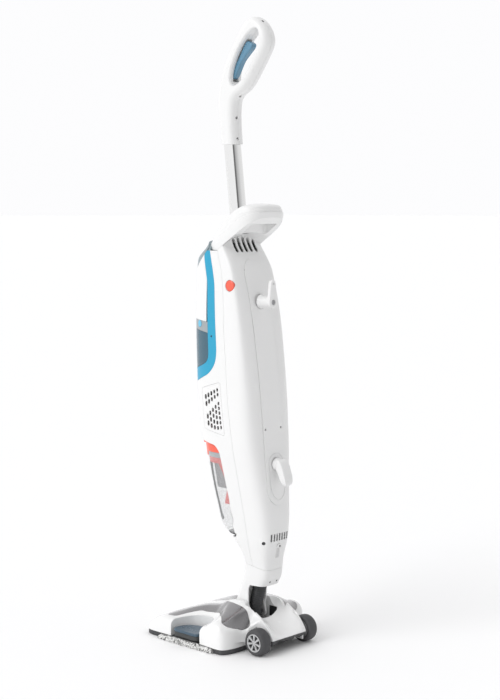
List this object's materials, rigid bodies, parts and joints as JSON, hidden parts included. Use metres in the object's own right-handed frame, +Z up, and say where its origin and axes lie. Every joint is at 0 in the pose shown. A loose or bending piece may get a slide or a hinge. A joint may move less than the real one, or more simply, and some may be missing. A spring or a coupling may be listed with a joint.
{
  "type": "upright vacuum and steam mop",
  "caption": "Upright floor cleaner: tilting body with a loop grip on a tube, clear dust cup, water tank, cord hooks and a wheeled floor head with a mop pad.",
  "frame": {"origin": "on the floor, below the middle of the machine's bounding box", "axes": "+Z up, front of the machine towards -Y, its left side towards +X"},
  "size_m": [0.234, 0.287, 1.18],
  "materials": {
    "white_plastic": "smooth, softly glossy white moulded plastic",
    "silver_lacquer": "metallic silver lacquer over moulded plastic, glossy",
    "dark_plastic": "matt charcoal moulded plastic",
    "tyre_rubber": "matt dark grey soft rubber",
    "hub_plastic": "satin silver-grey moulded plastic",
    "tube_chrome": "bright drawn tube, chrome plated",
    "blue_plastic": "smooth satin turquoise blue moulded plastic",
    "tab_blue": "dusty dark blue moulded plastic",
    "pale_blue": "satin pale blue moulded plastic",
    "panel_grey": "satin blue-grey moulded plastic",
    "band_grey": "satin light grey moulded plastic",
    "red_plastic": "satin coral red moulded plastic",
    "tank_plastic": "transparent dark blue moulded plastic",
    "clear_plastic": "clear moulded plastic, slightly smoky",
    "trigger_plastic": "translucent dusty blue moulded plastic",
    "filter_mesh": "fine grey woven mesh on a pleated cartridge",
    "chenille": "fluffy grey and white microfibre chenille",
    "screw_steel": "plain zinc-plated steel",
    "metal_case": "bare cast and pressed aluminium",
    "board_green": "green solder-masked board",
    "foam": "charcoal open-cell filter foam"
  },
  "bodies": {
    "head": {"head_shell": "white_plastic", "head_panel_left": "silver_lacquer", "head_panel_right": "silver_lacquer", "sole_plate": "dark_plastic", "pad_tray": "dark_plastic", "mop_pad": "chenille", "pivot_pin_left": "screw_steel", "pivot_pin_right": "screw_steel", "suction_duct": "dark_plastic", "axle_left": "screw_steel", "axle_right": "screw_steel"},
    "upright": {"neck_shell": "white_plastic", "neck_screw_left": "screw_steel", "neck_screw_right": "screw_steel", "suction_hose": "dark_plastic", "rear_shell": "white_plastic", "front_shell": "white_plastic", "side_grille_left": "white_plastic", "side_grille_right": "white_plastic", "blue_frame": "blue_plastic", "tank_cover": "white_plastic", "control_panel": "panel_grey", "carry_handle": "white_plastic", "handle_tube": "tube_chrome", "grip_left": "white_plastic", "grip_right": "white_plastic", "rear_panel": "white_plastic", "panel_screw_left": "screw_steel", "panel_screw_right": "screw_steel", "hook_post": "white_plastic", "hook_screw": "screw_steel", "cord_hook_lower": "white_plastic", "cord_inlet": "dark_plastic", "tank_bay": "dark_plastic", "container_bay": "dark_plastic", "motor_housing": "metal_case", "boiler": "metal_case", "water_pump": "dark_plastic", "circuit_board": "board_green", "exhaust_filter": "foam", "steam_hose": "dark_plastic"},
    "wheel_left": {"tyre_left": "tyre_rubber", "hub_left": "hub_plastic"},
    "wheel_right": {"tyre_right": "tyre_rubber", "hub_right": "hub_plastic"},
    "pedal_left": {"foot_tab_left": "tab_blue"},
    "pedal_right": {"foot_tab_right": "tab_blue"},
    "trigger": {"steam_trigger": "trigger_plastic"},
    "power_button": {"side_button": "red_plastic"},
    "hook": {"cord_hook_upper": "white_plastic"},
    "fan": {"suction_fan": "metal_case"},
    "tank": {"water_tank": "tank_plastic", "tank_band": "band_grey", "tank_cap": "dark_plastic"},
    "tank_button": {"tank_release_button": "pale_blue"},
    "container": {"dust_container": "clear_plastic", "container_lid": "clear_plastic", "cyclone_core": "red_plastic", "mesh_filter": "filter_mesh"},
    "latch": {"container_latch": "red_plastic"}
  },
  "joints": [
    {"name": "body_tilt", "type": "hinge", "parent": "head", "child": "upright", "pos_m": [0, 0.048, 0.055], "axis": [-1, 0, 0], "range_deg": [0, 55]},
    {"name": "wheel_left_spin", "type": "hinge", "parent": "head", "child": "wheel_left", "pos_m": [0.066, 0.118, 0.0255], "axis": [1, 0, 0], "continuous": true},
    {"name": "wheel_right_spin", "type": "hinge", "parent": "head", "child": "wheel_right", "pos_m": [-0.066, 0.118, 0.0255], "axis": [1, 0, 0], "continuous": true},
    {"name": "pedal_left_press", "type": "slide", "parent": "head", "child": "pedal_left", "axis": [0, 0, -1], "range_m": [0, 0.003], "stiffness_N_per_m": 1500, "springref_m": -0.001},
    {"name": "pedal_right_press", "type": "slide", "parent": "head", "child": "pedal_right", "axis": [0, 0, -1], "range_m": [0, 0.003], "stiffness_N_per_m": 1500, "springref_m": -0.001},
    {"name": "trigger_squeeze", "type": "hinge", "parent": "upright", "child": "trigger", "pos_m": [0, -0.006, 1.071], "axis": [1, 0, 0], "range_deg": [0, 3], "stiffness_Nm_per_rad": 2, "springref_deg": -1.72},
    {"name": "power_button_press", "type": "slide", "parent": "upright", "child": "power_button", "axis": [-1, 0, 0], "range_m": [0, 0.002], "stiffness_N_per_m": 600, "springref_m": -0.001},
    {"name": "hook_turn", "type": "hinge", "parent": "upright", "child": "hook", "pos_m": [0, 0.092, 0.655], "axis": [0, 1, 0], "range_deg": [0, 180]},
    {"name": "fan_spin", "type": "hinge", "parent": "upright", "child": "fan", "pos_m": [0, 0.016, 0.48], "axis": [0, 0, 1], "continuous": true},
    {"name": "tank_pull", "type": "slide", "parent": "upright", "child": "tank", "axis": [0, -1, 0], "range_m": [0, 0.08]},
    {"name": "tank_button_press", "type": "slide", "parent": "tank", "child": "tank_button", "axis": [0, 1, 0], "range_m": [0, 0.0015], "stiffness_N_per_m": 600, "springref_m": -0.001},
    {"name": "container_pull", "type": "slide", "parent": "upright", "child": "container", "axis": [0, -1, 0], "range_m": [0, 0.11]},
    {"name": "latch_press", "type": "hinge", "parent": "container", "child": "latch", "pos_m": [0, -0.06, 0.35], "axis": [1, 0, 0], "range_deg": [0, 8], "stiffness_Nm_per_rad": 1.5, "springref_deg": -2.86}
  ]
}
